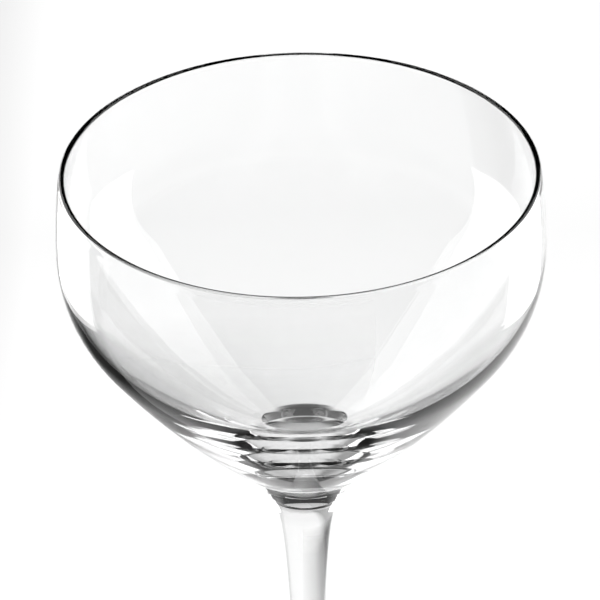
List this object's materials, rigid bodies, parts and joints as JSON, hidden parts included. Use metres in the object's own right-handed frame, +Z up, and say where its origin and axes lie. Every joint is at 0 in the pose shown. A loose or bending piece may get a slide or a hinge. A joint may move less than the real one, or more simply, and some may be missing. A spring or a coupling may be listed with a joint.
{
  "type": "coupe cocktail glass",
  "caption": "Clear stemmed cocktail glass with a wide rounded bowl, a thick solid base to the bowl, a slim tapered stem and a thin round foot.",
  "frame": {"origin": "centre of the foot's flat underside, on the surface that the glass stands on", "axes": "+Z up along the axis of the stem and bowl; X and Y are equivalent"},
  "size_m": [0.0988, 0.0988, 0.17],
  "materials": {
    "bowl_glass": "clear, fire polished",
    "stem_glass": "clear, fire polished",
    "foot_glass": "clear, fire polished"
  },
  "bodies": {
    "root": {"bowl": "bowl_glass", "stem": "stem_glass", "foot": "foot_glass"}
  },
  "joints": []
}
